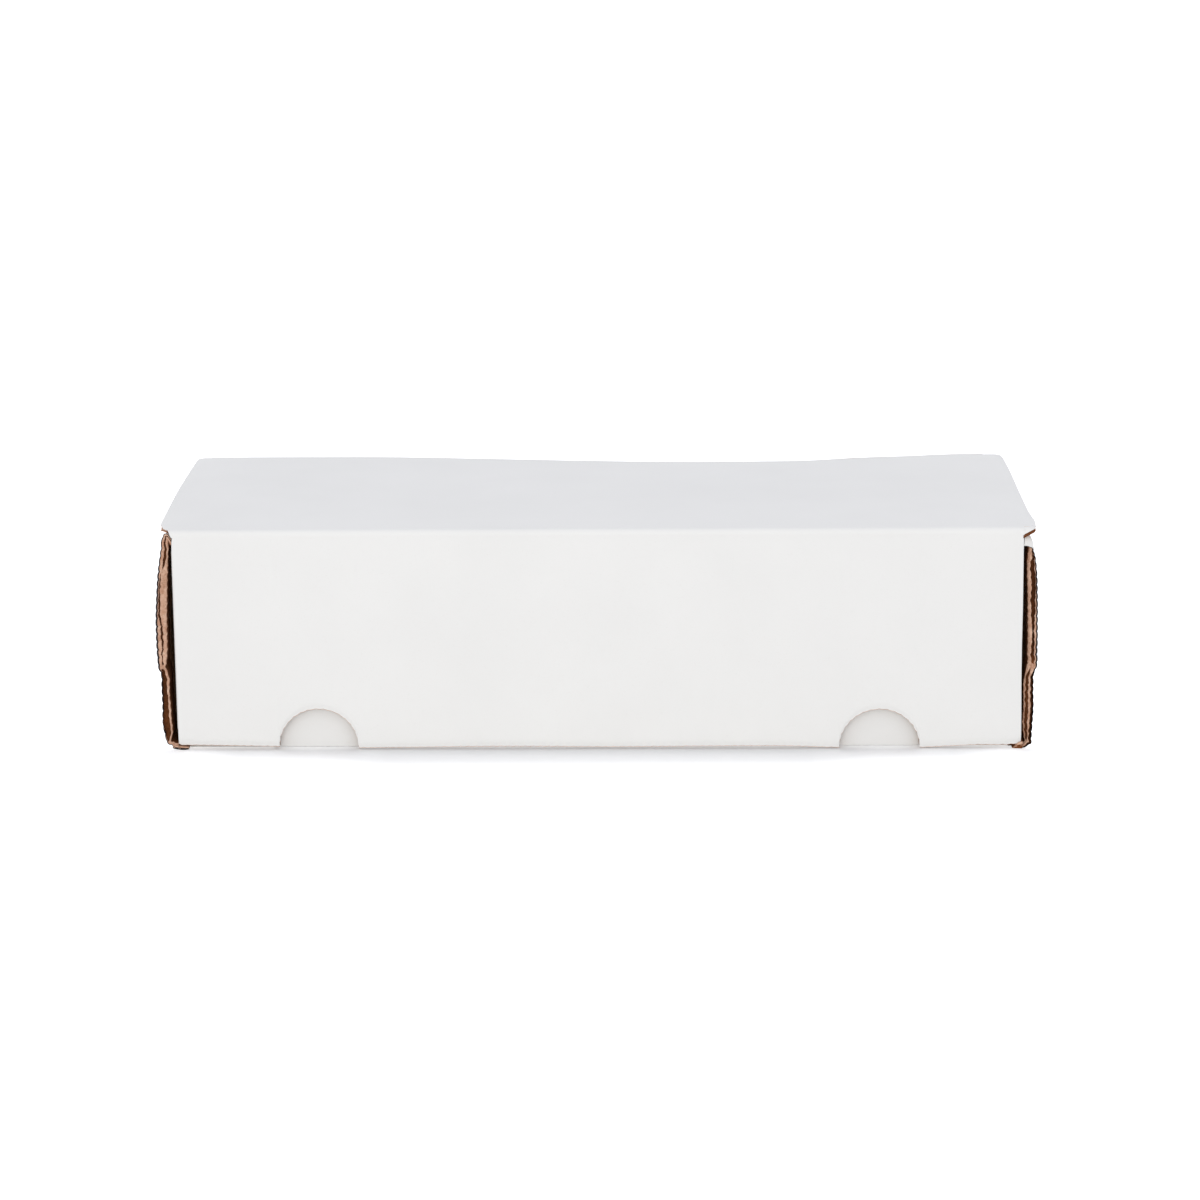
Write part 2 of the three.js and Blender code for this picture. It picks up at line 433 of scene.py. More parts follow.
def cut_edge():
    """The torn fibres of a cut edge: pinkish tan, with darker flecks and pale tufts."""
    n = Nodes("cut_edge")
    fine = n.spots(1700, 4)
    coarse = n.spots(380, 3)
    tufts = n.spots(900, 2)
    colour = n.mix(n.clip(coarse, 0.35, 0.65), (220, 182, 158), (192, 147, 121))
    colour = n.mix(n.clip(fine, 0.48, 0.72, 0, 0.55), colour, (150, 106, 80))
    colour = n.mix(n.clip(tufts, 0.6, 0.75, 0, 0.6), colour, (226, 198, 174))
    return n.paper(colour, 0.9, 0.15, n.bump(fine, 0.2 * MM, 0.9, n.bump(tufts, 0.2 * MM)))


def fluted_core():
    """The fluted sheet, seen end on between the liners: its wave light, and the hollows beside it painted
    dark as shade.
    """
    n = Nodes("fluted_core")
    across, depth = n.sheet()
    wave = n.math("MULTIPLY_ADD", n.flutes(across), 0.36, 0.5)
    gap = n.math("ABSOLUTE", n.math("SUBTRACT", n.math("DIVIDE", depth, BOARD), wave))
    line = n.clip(gap, 0.07, 0.13, 1, 0)
    fine = n.spots(1500, 3)
    # The flutes' hollows are painted dark: painted shade.
    dark = n.mix(n.clip(fine), (70, 44, 28), (104, 70, 46))
    light = n.mix(n.clip(fine), (178, 138, 106), (150, 108, 80))
    relief = n.bump(fine, 0.2 * MM, 0.8, n.bump(line, 0.2 * MM))
    return n.paper(n.mix(line, dark, light), 0.95, 0.1, relief)


def fluted_sheet():
    """The wavy sheet between the liners."""
    n = Nodes("fluted_sheet")
    fine = n.spots(1500, 3)
    cloud = n.spots(150, 3)
    colour = n.mix(n.clip(cloud), (128, 76, 42), (100, 58, 32))
    colour = n.mix(n.clip(fine, 0.45, 0.75, 0, 0.6), colour, (74, 40, 20))
    return n.paper(colour, 0.92, 0.15, n.bump(fine, 0.1 * MM, 0.7))


def painted_shade_line():
    """The outermost cut line of an end wall, painted dark: painted shade on the white liner's rolled-in
    edge.
    """
    n = Nodes("painted_shade_line")
    fine = n.spots(1300, 4)
    colour = n.mix(n.clip(fine, 0.35, 0.65), (28, 22, 22), (70, 60, 58))
    return n.paper(colour, 0.9, 0.15, n.bump(fine, 0.1 * MM, 0.7))


FINISHES = {
    "white": white_liner(),
    "kraft": kraft_liner(),
    "edge": cut_edge(),
    "core": fluted_core(),
    "medium": fluted_sheet(),
    # This darkest finish is painted shade.
    "painted_shade": painted_shade_line(),
}


# The lid's shape.

# How far the fold behind the lid has sagged, from the left corner to the right one.
SAG = [
    (-1, 0.9), (-0.72, 0.8), (-0.5, 0.9), (-0.24, 1.7), (0, 2.5), (0.2, 2.9), (0.38, 2.8),
    (0.52, 2.5), (0.64, 1.5), (0.76, 0.9), (0.88, 0.2), (1, 0),
]
LID_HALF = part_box("lid_panel")[1].x

# The lid's right front corner: its root, its thickness, how far its outer side comes forward,
# as a share, and down, and how far it stands back from the front, the side and the top.
CORNER_ROOT = 140.3 * MM
CORNER_THICK = 1.2 * MM
CORNER_REACH = 0.85
CORNER_DOWN = 0.25 * MM
CORNER_TUCK = 0.2 * MM, 0.1 * MM, 0.02 * MM


def lid_drop(x, y):
    """How far the lid's top lies below its highest level."""
    back = curve(x / LID_HALF, SAG) * MM
    front = 0.25 * MM * (1 - x / LID_HALF)
    share = np.clip((y - FRONT) / (BACK - FRONT), 0, 1)
    return front + (back - front) * share ** 1.6


# How far the lid's sides, left and right, stand past half its width, from front to back.
LID_SIDES = {
    -1: [
        (0, -2.8), (2.3, -2.3), (4.4, -0.9), (7.6, 0.1), (10, 0.6), (13, 0.8), (28, 0.6), (44, 0.4),
        (61, 0), (78, -0.7), (92, -1.3), (99, -1.7), (104, -2.4),
    ],
    1: [
        (0, 0), (2, 0.3), (4.7, 0.75), (9.4, 1.15), (13, 1.1), (17, 0.8), (23, 0.5), (48, 0.4), (81, 0.5),
        (96, 0.2), (99, 0), (104, -0.8),
    ],
}


def lid_side(y, end):
    """The lid's side edge at a depth."""
    return end * (LID_HALF + straight(y - FRONT, LID_SIDES[end]))


def lid_corner(piece):
    """The lid's right front corner: round at its root, and nearly level at its outer side."""
    across, out = np.meshgrid(np.linspace(0, 1, 9), np.linspace(0, 1, 9))
    bend = out * math.pi / 2
    back, side, under = CORNER_TUCK
    inset = (1 - across) * FOLD * (1 - np.sin(bend)) + across * FOLD * (1 - CORNER_REACH * out)
    down = (1 - across) * FOLD * (1 - np.cos(bend)) + across * CORNER_DOWN * out
    y = FRONT + inset + back * (1 - out)
    x = CORNER_ROOT + (lid_side(y, 1) - side - CORNER_ROOT) * across
    z = TOP - under - lid_drop(x, y) - down
    # Its rims take the wavy sheet's dark brown: the cut edge's own brown, darkened as painted shade.
    piece.plate(stack(x, y, z), stack(x, y, z - CORNER_THICK), stack(x, y), ["dark"] * 4)


def lid():
    """The lid: two liners and the fluted sheet between, crushed at both folds."""
    piece = Piece()
    front, back = FRONT + FOLD, BACK - FOLD
    shares, y = np.meshgrid(shares_of(2 * LID_HALF, 9 * MM), spread(front, back, 0.45 * MM))
    left, right = lid_side(y, -1), lid_side(y, 1)
    x = left + (right - left) * shares
    for end, edge in ((-1, left), (1, right)):
        x = x - end * teeth(y, 3 + end) * fall(abs(x - edge), 3 * MM)
    pinch = PINCH * fall(np.minimum(abs(x - left), abs(x - right)), PINCH_REACH)
    # The board is crushed further in at the left front corner.
    further = 4.5 * MM * fall(x + LID_HALF, 10 * MM) * (y < 0)
    thick = thickness(pinch, np.minimum(y - front, back - y) - further)
    top = TOP - lid_drop(x, y) - 0.5 * pinch
    low = top - thick
    flat = stack(x, y)
    piece.sheet(stack(x, y, top), stack(x, y, top - LINER), flat, "white", "medium", "edge")
    piece.sheet(stack(x, y, low + LINER), stack(x, y, low), flat, "medium", "kraft", "edge")
    lid_corner(piece)
    wave = 0.5 - 0.5 * np.cos(2 * math.pi * y / FLUTE)
    inset = 0.25 * MM * np.sign(x) * fall(LID_HALF - abs(x), 4 * MM)
    high = stack(x - inset, y, top - LINER - (thick - 2 * LINER - SHEET) * wave)
    piece.sheet(high, high - [0, 0, SHEET], flat, "medium", "medium", "medium")
    return piece.build("lid_board")


# The flap.

# Half the flap's width at heights, left and right, and its lower edge from left to right.
FLAP_SIDES = {
    -1: [(0, 140.4), (71, 140.45), (71.8, 140.5), (72.6, 140), (73.6, 140.1), (74.2, 140.4)],
    1: [(0, 141.9), (5, 141.9), (14, 141.7), (24, 141.4), (36, 141.2), (50, 141.1), (69, 140.75)],
}
FLAP_LINE = [
    (-141, 1.7), (-133, 1.6), (-120, 1.35), (-110, 1.15), (-78, 0.55), (-67, 0.65), (-50, 0.8),
    (-30, 0.95), (-13, 0.85), (0, 0.7), (17, 0.75), (40, 0.9), (67, 0.8), (75, 0.5), (114, 0.55),
    (120, 0.9), (127, 1.2), (135, 1.2), (139, 1.5), (141, 1.8),
]
NOTCHES = ((-93.4 * MM, 13.2 * MM), (94.4 * MM, 13.5 * MM))
FLAP_CORNER = 0.4 * MM
FLAP_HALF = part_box("flap_ear_right")[1].x

# The height in which the flap's columns would straighten out above its uneven lower edge.
COLUMN_REACH = 40 * MM


def foot_line(x):
    """The height of the flap's lower edge."""
    return curve(np.asarray(x) / MM, FLAP_LINE) * MM


def flap_foot():
    """The flap's lower edge from left to right, with its notches and teeth, and its columns."""
    x, z, column = [], [], []
    fine = np.array([0, 0.05, 0.12, 0.22, 0.36, 0.54]) * MM
    gap = 0.1 * MM

    def level(start, end):
        places = np.arange(start, end, 0.42 * MM)
        if start == -FLAP_HALF:
            places = np.hstack([start + fine, places[places > start + fine[-1] + gap]])
        if end == FLAP_HALF:
            places = np.hstack([places[places < end - fine[-1] - gap], end - fine[::-1]])
        x.extend(places)
        z.extend(foot_line(places) + 0.8 * teeth(places, 11))
        column.extend(places)

    start = -FLAP_HALF
    for centre, radius in NOTCHES:
        level(start, centre - radius - gap)
        angles = np.linspace(math.pi, 0, 110)
        ragged = radius + teeth(angles * radius, 12) - 0.3 * TOOTH_DEPTH
        x.extend(centre + ragged * np.cos(angles))
        z.extend(foot_line(column[-1:]) + ragged * np.sin(angles))
        column.extend(centre + radius * np.cos(angles))
        start = centre + radius + 3 * gap
    level(start, FLAP_HALF)
    x, z, column = map(np.array, (x, z, column))
    corner = fall(FLAP_HALF - abs(x), 1.2 * MM)
    return x, z + FLAP_CORNER * corner ** 2, column


def flap_side(z, end):
    """The flap's side edge at a height."""
    return end * straight(z, FLAP_SIDES[end])


def flap():
    """The front flap, with pinched lower edge and rounded sides."""
    piece = Piece()
    foot_x, foot_z, column = flap_foot()
    top = TOP - FOLD
    near = np.array([0, 0.13, 0.4, 0.8, 1.3, 1.9, 2.8, 4])[:, None] * MM
    far = np.linspace(0, 1, 40)[1:, None]
    base = foot_z + near[-1]
    x = np.vstack([foot_x + (column - foot_x) * near / COLUMN_REACH, column + 0 * far])
    z = np.vstack([foot_z + near, base + (top - base) * far])
    drop = lid_drop(x[-1], FRONT)
    z = z - drop * np.clip((z - base) / (top - base), 0, 1)
    side = np.where(x < 0, flap_side(z, -1), flap_side(z, 1))
    x = x + (side - np.sign(x) * FLAP_HALF) * np.clip(abs(x) / FLAP_HALF * 4 - 3, 0, 1)
    edge = z - foot_z
    hollow = 0.12 * MM * (1 + noise(x, 70 * MM, 5)) * np.clip(edge / (20 * MM), 0, 1)
    hollow = hollow * fall(edge - 50 * MM, 20 * MM)
    pinch = PINCH * fall(edge, PINCH_REACH)
    y = FRONT + hollow + 0.6 * pinch
    outer = stack(x, y + rounded(abs(side) - abs(x), FLAP_CORNER), z)
    inner = stack(x, y + thickness(pinch, top - z - drop), z)
    flat = stack(x, z)
    # The lowest row of faces is a torn edge, and the cut closes it from below.
    piece.grid(outer[:2], flat[:2], "edge")
    piece.plate(outer[1:], inner[1:], flat[1:], [None, "kraft", None, None])
    piece.grid(inner[:2], flat[:2], "kraft")
    piece.rim(outer, inner, flat, "cut", "white")
    turned = [grid.swapaxes(0, 1) for grid in (outer, inner, flat)]
    piece.rim(*turned, "fold", "white")
    piece.rim(*(grid[::-1] for grid in turned), "fold", "white")
    return piece.build("flap_board")


# Upright walls.

# The back wall gives way to the sagging lid from this height up.
SAG_FROM = 8 * MM


def long_wall(name, side):
    """The front or back wall: round at its foot and at both ends."""
    piece = Piece()
    is_front = side < 0
    low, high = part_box("front_wall" if is_front else "back_wall")
    face, top = (-low.y, high.z) if is_front else (high.y, TOP - FOLD)
    heights = spread(WALL_BASE, top, 2 * MM, False, True)[1:]
    run, into, lift, out, up = columns(*round_foot(face, WALL_BASE, 13, heights))
    x = spread(-WALL_HALF, WALL_HALF, 7 * MM, True, True)
    if is_front:
        pinch = PINCH * fall(run[-1] - run, PINCH_REACH)
        deep = BOARD - 0.5 * pinch
        drop = 0
    else:
        pinch = 0 * run
        deep = thickness(pinch, run[-1] - run)
        drop = lid_drop(x, BACK) * np.clip((up - SAG_FROM) / (TOP - SAG_FROM), 0, 1)
    under = rounded(WALL_HALF - abs(x), CORNER) + 0.5 * pinch
    outer = stack(x, side * (out + into * under), up + lift * under - drop)
    inner = stack(x, side * (out + into * deep), up + lift * deep - drop)
    piece.plate(outer, inner, stack(x, run), ["kraft", "cut" if is_front else "kraft", "fold", "fold"])
    return piece.build(name)


# End walls.

# The outer plies, in millimetres at heights up the wall: how far their faces stand out
# from upright, and how thick their front edges are.
BOWS = {
    -1: [
        (0, 0), (4, 0.3), (8, 1), (16, 1), (22, 1.05), (27, 1.2), (28.4, 1.75), (32, 2.05),
        (38, 2.2), (46, 2.1), (55, 1.5), (61, 0.95), (66, 0.2), (69, -0.3), (73.3, -0.9),
    ],
    1: [
        (0, 0.3), (1.4, 0.95), (3, 1), (4.3, 1), (10, 1.2), (13, 1.3), (22, 1.05), (26.6, 1.2),
        (28.2, 1.85), (34, 1.95), (44, 1.75), (52, 1.5), (60, 1.1), (63, 0.8), (66, 0.4), (69, -0.1),
        (70.7, -0.5),
    ],
}
THICKS = {
    -1: [
        (0, 1.2), (2.4, 1.3), (3.4, 1.8), (5.2, 2.6), (7.6, 3.1), (10, 3), (14, 2.8), (19, 2.5),
        (24, 2.7), (27, 2.2), (28.3, 2.3), (30, 2.8), (33, 3.3), (36, 3.6), (44, 3.7), (52, 3.6),
        (60, 3.3), (64, 3), (69, 2.5), (72, 2.4), (76, 2.2),
    ],
    1: [
        (0, 1.2), (1, 1.8), (2.8, 2.2), (5.2, 2.7), (8.6, 3.2), (23.8, 3.2), (24.7, 2.7), (26.6, 2.8),
        (28.3, 3.1), (60, 3.2), (64.5, 2.9), (66.5, 2.5), (69, 1.9), (71, 1.2), (73.3, 0.9),
    ],
}

# The troughs in a ply's cut edge: at heights, from where to where across the ply, and how deep.
TROUGHS = {
    -1: [[
        (0, 0.35, 0.6, 0.2), (2.4, 0.35, 0.6, 0.3), (3.4, 0.33, 1.1, 1.2), (5.2, 0.33, 2.1, 1.6),
        (7.6, 0.33, 2.4, 1.8), (10.3, 0.37, 2.4, 1.8), (13.8, 0.27, 2.1, 1.8), (19, 0.3, 1.95, 1.8),
        (24.1, 0.25, 1.75, 1.8), (26.5, 0.33, 1.6, 1.8), (27.4, 0.5, 1.5, 1.2), (28, 0.9, 1.3, 0),
        (29.3, 1.3, 1.8, 0.1), (30, 1.45, 1.95, 1.2), (30.8, 1.5, 1.8, 0.4), (32.8, 1.37, 1.7, 0.8),
        (36.2, 1.83, 2.27, 1.2), (40.4, 1.57, 2.23, 1.5), (44.2, 1.6, 2.07, 1), (47.3, 0.83, 1.4, 1.4),
        (50, 0.93, 1.4, 1), (51.9, 0.77, 1.43, 1.5), (55.3, 0.8, 1.13, 1), (59.5, 0.77, 1.03, 0.8),
        (62.2, 1, 1.2, 0.2), (63, 1.5, 1.7, 0.2), (64, 1.33, 1.8, 1.3), (66.5, 1.2, 2.1, 1.4),
        (69.3, 1.2, 1.95, 1.3), (72.4, 0.8, 1.4, 1), (75, 0.45, 0.7, 0.6), (76.5, 0.4, 0.6, 0.3),
    ]],
    1: [
        [
            (0, 0.12, 0.5, 0.3), (1, 0.12, 0.9, 1.5), (2.8, 0.12, 1.05, 3), (24, 0.12, 0.9, 3),
            (26, 0.12, 0.7, 3), (27.2, 0.12, 0.5, 1), (28, 0.12, 0.3, 0),
        ],
        [
            (0, 1.2, 1.25, 0), (27, 1, 1.3, 0), (28.3, 0.9, 1.9, 0.35), (30, 1, 2, 0.5),
            (31, 1.05, 2.1, 1.2), (32.5, 1.05, 2.1, 2.2), (36.5, 1.1, 1.95, 2.2), (40.7, 1.2, 1.7, 2.2),
            (44.4, 1.1, 2, 2.2), (47, 0.85, 2.2, 2.4), (49.5, 0.85, 2.1, 2.4), (51.5, 0.85, 2.3, 2.4),
            (56, 0.7, 1.9, 2.4), (60.3, 0.7, 1.95, 2.4), (62.8, 0.75, 2.1, 2.4), (64.5, 0.65, 1.8, 2.4),
            (66.5, 0.45, 1.2, 2), (69, 0.35, 0.8, 1.2), (71, 0.3, 0.5, 0.4), (73, 0.3, 0.4, 0),
        ],
        [
            (0, 1.3, 1.6, 0.3), (1, 1.3, 1.6, 0.4), (2.8, 1.3, 1.9, 1.2), (5.2, 1.5, 2.3, 1.4),
            (8.6, 1.8, 2.75, 1.4), (19, 1.8, 2.7, 1.4), (23.8, 1.6, 2.5, 1.4), (26, 1.5, 2.2, 1.2),
            (27.5, 1.5, 1.9, 0.3), (29, 2.3, 2.5, 0),
        ],
    ],
}
PLAIN_TROUGHS = [[
    (0, 0.4, 0.8, 0.2), (4, 0.5, 1.9, 1.5), (18, 0.4, 1.7, 2), (26, 0.5, 1.5, 1.6),
    (33, 1.3, 2.3, 1.8), (47, 1.4, 2.5, 2), (60, 1.1, 2.1, 2), (70, 0.7, 1.6, 1.6),
]]

# How wide the painted shade on the outermost line of a ply's front edge is at heights, and how
# far the edge is rounded on its inner side.
PAINTED_SHADE_WIDTHS = {
    -1: [(0, 0.3), (26, 0.35), (29, 0.65), (61, 0.6), (65, 0.4), (76, 0.3)],
    1: [(0, 0.15), (26, 0.15), (29, 0.6), (62, 0.55), (66, 0.4), (76, 0.3)],
}
ROUNDINGS = {-1: 0.35 * MM, 1: 0.9 * MM}

# The plies' back edges: their thickness at the floor, and how wide their painted shade line is.
BACK_FOOT = 1.2 * MM
BACK_SHADE_WIDTH = 0.2 * MM

# How far in from its front edge the inside of a ply is painted the wavy sheet's dark brown: painted shade
# in the slot beside the flap.
SHADED = 14 * MM

# How far from a cut edge a ply is ragged, and from its front edge creased. Beyond, it bows.
RAGGED = 5 * MM
CREASED = 30 * MM
CALM_BOW = 1.9 * MM

# The height in which a ply's bow starts, its row height, and how many points its curve under
# the lid has.
BOW_START = 1.4 * MM
PLY_STEP = 0.35 * MM
ARCH_POINTS = 12

# The lid presses a ply down from this height up.
PRESS_FROM = 30 * MM

# The right ply's front edge is pressed down at its top: from which height, and by what share.
DIP_FROM = 66 * MM
DIP_SHARE = 0.4

# How a ply's front edge is bent along the curve under the lid, in millimetres at shares of it:
# the left one rises, and both curl in beside the flap. The left foot is lifted, too.
ARCH_RISE = [0, 0.3, 0.6, 0.85, 1], [0, 1.2, 2.3, 1.8, 0.2]
ARCH_CURL = {-1: ([0, 0.6, 0.85, 1], [0, 0, 0.3, 0.7]), 1: ([0, 0.6, 1], [0, 0, 0.35])}
FOOT_LIFT = 0.9 * MM

# Where the outer plies end under the lid, their flat stretch there, and where their front and
# back edges and their outer faces lie.
LIP_END = FLAP_HALF + 0.28 * MM
LIP_FLAT = 0.4 * MM
PLY_FRONT, PLY_BACK = (corner.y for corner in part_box("end_wall_outer_left"))
PLY_FACE = FLAP_HALF + 0.6 * MM + BOARD


def end_drop(y, end):
    """How far the top of an end wall has been pressed down by the lid."""
    sag = (SAG[0][1] if end < 0 else SAG[-1][1]) * MM
    return (sag + 0.1 * MM) * np.clip((y - FRONT) / (BACK - FRONT), 0, 1)


def cut_face(run, up, thick, troughs, painted_shade, rounding, seed):
    """A ply's cut edge from its outer to its inner side: places across, depths and finishes."""
    across = np.linspace(0, 1, 41) * thick
    depth = 0.12 * MM * abs(noise(run, 0.7 * MM, seed) * noise(across, 0.4 * MM, seed + 1))
    for trough in troughs:
        height, *values = np.array(trough, float).T
        start, stop, deep = (np.interp(up / MM, height, value) * MM for value in values)
        start = start + 0.09 * MM * noise(run, 0.9 * MM, seed + 2)
        stop = stop + 0.13 * MM * noise(run, 1.2 * MM, seed + 3)
        inside = np.minimum(across - start, stop - across)
        depth += deep * (1 - fall(inside + 0.06 * MM, 0.16 * MM))
    rolled = 1.4 * rounding * np.clip((across - thick + rounding) / rounding, 0, 1) ** 2
    depth += rolled
    depth[:, 0] = 0
    middle = (across[:-1, :-1] + across[1:, 1:]) / 2
    sunk = (depth[:-1, :-1] + depth[1:, 1:]) / 2 - rolled[:-1, :-1]
    finish = np.where(sunk > 0.45 * MM, "medium", "edge")
    # The outermost line of the cut is painted dark: painted shade.
    return across, depth, np.where(middle < painted_shade[:-1], "painted_shade", finish)


def ply_bow(up, end):
    """How far a ply's front edge stands out from upright at heights."""
    return curve(up / MM, BOWS[end]) * MM * np.clip(up / BOW_START, 0, 1)


def ply_profile(end):
    """The front edge of an outer ply from the floor up, with its curve under the lid."""
    base, lip = BASES[end], LIPS[end]
    out, up = round_foot(PLY_FACE, base, 15, np.arange(base + PLY_STEP, RIM - lip, PLY_STEP))
    out = out + ply_bow(up, end)
    angles = np.linspace(0, math.pi / 2, ARCH_POINTS)[1:]
    turned = LIP_END + LIP_FLAT
    out = np.hstack([out, turned + (out[-1] - turned) * np.cos(angles), [LIP_END]])
    return out, np.hstack([up, RIM - lip + lip * np.sin(angles), [RIM]])


def outer_ply(end):
    """The outer ply of an end wall, torn at its front edge and cut at its back edge."""
    piece = Piece()
    seed = 20 + end
    run, into, lift, out, up = columns(*ply_profile(end))
    scallop = teeth(run, seed)
    arch = np.clip((run - run[-ARCH_POINTS - 1]) / (run[-1] - run[-ARCH_POINTS - 1]), 0, 1)
    even = CALM_BOW * np.sin(math.pi * up / RIM) * np.clip(up / BOW_START, 0, 1)
    calm = (even - ply_bow(up, end)) * fall(up - 60 * MM, 12 * MM)
    front_thick = straight(up, THICKS[end])
    back_thick = BOARD - (BOARD - BACK_FOOT) * fall(run, 6 * MM)

    def points_at(y, depth):
        """Points at depths under the outer face."""
        from_front = y - PLY_FRONT
        near = fall(from_front, 1.6 * MM)
        shift = -end_drop(y, end) * np.clip((up - PRESS_FROM) / (RIM - PRESS_FROM), 0, 1)
        if end > 0:
            shift = shift - near * DIP_SHARE * np.maximum(up - DIP_FROM, 0)
        else:
            shift = shift + near * np.interp(arch, *ARCH_RISE) * MM
            shift = shift + FOOT_LIFT * fall(up, 2.6 * MM) * fall(from_front, 10 * MM)
        ragged = fall(from_front, RAGGED) + fall(PLY_BACK - y, RAGGED)
        depth = depth + 1.1 * scallop * ragged
        curl = near * np.interp(arch, *ARCH_CURL[end]) * MM
        x = out + into * depth - curl + calm * (1 - fall(from_front, CREASED))
        return stack(end * x, y, np.maximum(up + lift * depth + shift, 0))

    faces = {}
    for side, edge, thick, cuts, painted_shade, rounding in (
        (1, PLY_FRONT, front_thick, TROUGHS[end], straight(up, PAINTED_SHADE_WIDTHS[end]), ROUNDINGS[end]),
        (-1, PLY_BACK, back_thick, PLAIN_TROUGHS, BACK_SHADE_WIDTH + 0 * run, ROUNDINGS[-1]),
    ):
        across, depth, finish = cut_face(run, up, thick, cuts, painted_shade, rounding, seed + 10 * side)
        y = edge + side * (0.5 * scallop + depth)
        piece.grid(points_at(y, across), stack(run, across), finish)
        faces[side] = y[:, :1], y[:, -1:]

    for inner, finish in ((False, "white"), (True, "kraft")):
        start, stop = (faces[side][inner] for side in (1, -1))
        y = start + (stop - start) * shares_of(PLY_BACK - PLY_FRONT, 6 * MM)
        depth = 0 * y
        if inner:
            depth = back_thick + (front_thick - back_thick) * fall(y - PLY_FRONT, 22 * MM)
            depth[:, :1] = front_thick
            depth[:, -1:] = back_thick
            # Near the front edge the inside takes the wavy sheet's dark brown: painted shade.
            finish = np.where(y[1:, 1:] - PLY_FRONT < SHADED, "medium", finish)
        piece.grid(points_at(y, depth), stack(run, y), finish)
    return piece.build("end_ply_" + LABELS[end])


def top_strip(end):
    """The strip over the top of an end wall, folded down at its inner edge."""
    piece = Piece()
    label = LABELS[end]
    low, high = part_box("end_wall_top_" + label)
    inner_edge = min(abs(low.x), abs(high.x))
    ear_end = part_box("flap_ear_left")[1].y + 1.5 * MM
    angles = np.linspace(0, math.pi / 2, 8)[1:]
    turned = inner_edge + CORNER * (1 - np.sin(angles))
    down = np.hstack([np.zeros(6), CORNER * (1 - np.cos(angles)), [BOARD]])[:, None]
    # Beside the ear the strip ends at the wall's side, and behind it at the outer ply.
    for start, stop, edge in ((low.y, ear_end, WALL_HALF), (ear_end, high.y, LIP_END)):
        out = np.hstack([np.linspace(edge, inner_edge + CORNER, 6), turned, [inner_edge]])[:, None]
        y = spread(start, stop, 8 * MM, True, True)
        drop = end_drop(y, end)
        outer = stack(end * out, y, RIM - down - drop)
        inner = stack(end * np.linspace(edge, inner_edge, len(down))[:, None], y, RIM - BOARD - drop)
        piece.plate(outer, inner, stack(out, y), ["kraft", "fold", "cut", "cut"])
    return piece.build("end_spine_" + label)


# An upright panel's nominal height, which its rows divide.
UPRIGHT = 70 * MM

# A dust flap's lift over the floor, and how far it narrows to its tip below and above.
DUST_LIFT = 1 * MM
DUST_RISE = 2 * MM
DUST_FALL = 3 * MM

# An ear's slant and rounding, below and above, and its room under the lid.
EAR_FOOT = 7 * MM, 7 * MM
EAR_HEAD = 3 * MM, 5 * MM
EAR_ROOM = 0.5 * MM


def upright(node, name, end, faces_out, y, foot, head, kinds):
    """An upright panel in the box's end, its white face out or in, with foot and head lines."""
    piece = Piece()
    low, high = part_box(node)
    inside, outside = sorted((end * low.x, end * high.x), reverse=not faces_out)
    y, shares = np.meshgrid(y, shares_of(UPRIGHT, 6 * MM))
    z = foot(y) + (head(y) - foot(y)) * shares
    pinch = 0 * z
    distances = z - foot(y), head(y) - z, abs(y - y[0, 0]), abs(y - y[0, -1])
    for kind, distance in zip(kinds, distances):
        if kind == "cut":
            pinch = np.maximum(pinch, PINCH * fall(distance, PINCH_REACH))
    toward = 0.5 * pinch * (-1 if faces_out else 1)
    outer = stack(end * (outside + toward), y, z)
    inner = stack(end * (inside - toward), y, z)
    flat = stack(z, y) if node.startswith("end") else stack(y, z)
    piece.plate(outer, inner, flat, kinds)
    return piece.build(name)


def tab_middles():
    """How far back the two locking tabs stand."""
    low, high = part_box("end_wall_inner_right")
    middle = (low.y + high.y) / 2
    return middle - TAB_PLACE, middle + TAB_PLACE


def inner_ply(end):
    """The inner ply of an end wall, with its two locking tabs."""
    node = "end_wall_inner_" + LABELS[end]
    low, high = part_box(node)
    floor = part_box("bottom_panel")[1].z
    tabs = tab_middles()
    bevel = TAB_HALF - TAB_BEVEL
    steps = [0, bevel, -bevel, TAB_HALF, -TAB_HALF, TAB_HALF + TAB_STEP, -TAB_HALF - TAB_STEP]
    y = np.unique([*spread(low.y, high.y, 6 * MM, True, True), *(tab + s for tab in tabs for s in steps)])

    def foot(y):
        from_tab = np.min([abs(y - tab) for tab in tabs], axis=0)
        inside = np.clip((TAB_HALF + TAB_STEP / 2 - from_tab) / TAB_STEP, 0, 1)
        taper = np.clip((from_tab - bevel) / TAB_BEVEL, 0, 1)
        return floor - (floor - low.z) * inside * (1 - 0.85 * taper)

    def head(y):
        return high.z - end_drop(y, end)

    kinds = ["cut", "kraft", "cut", "cut"]
    return upright(node, "end_liner_" + LABELS[end], end, False, y, foot, head, kinds)


def side_flap(node, name, end, root, tip, foot, head):
    """A flap turned in along the box's end: a dust flap or an ear."""
    y = spread(root, tip, 4 * MM, False, True)
    kinds = ["cut", "cut", "fold", "cut"]
    return upright(node, name, end, True, y, foot, head, kinds)


def dust_flap(wall, end):
    """A dust flap, narrowing a little to its tip."""
    node = "dust_flap_" + wall + "_" + LABELS[end]
    low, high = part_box(node)
    root, tip = (low.y, high.y) if wall == "front" else (high.y, low.y)

    def foot(y):
        return low.z + DUST_LIFT + DUST_RISE * abs(y - root) / abs(tip - root)

    def head(y):
        return high.z - DUST_FALL * abs(y - root) / abs(tip - root) - end_drop(y, end)

    return side_flap(node, node.replace("_flap", ""), end, root, tip, foot, head)


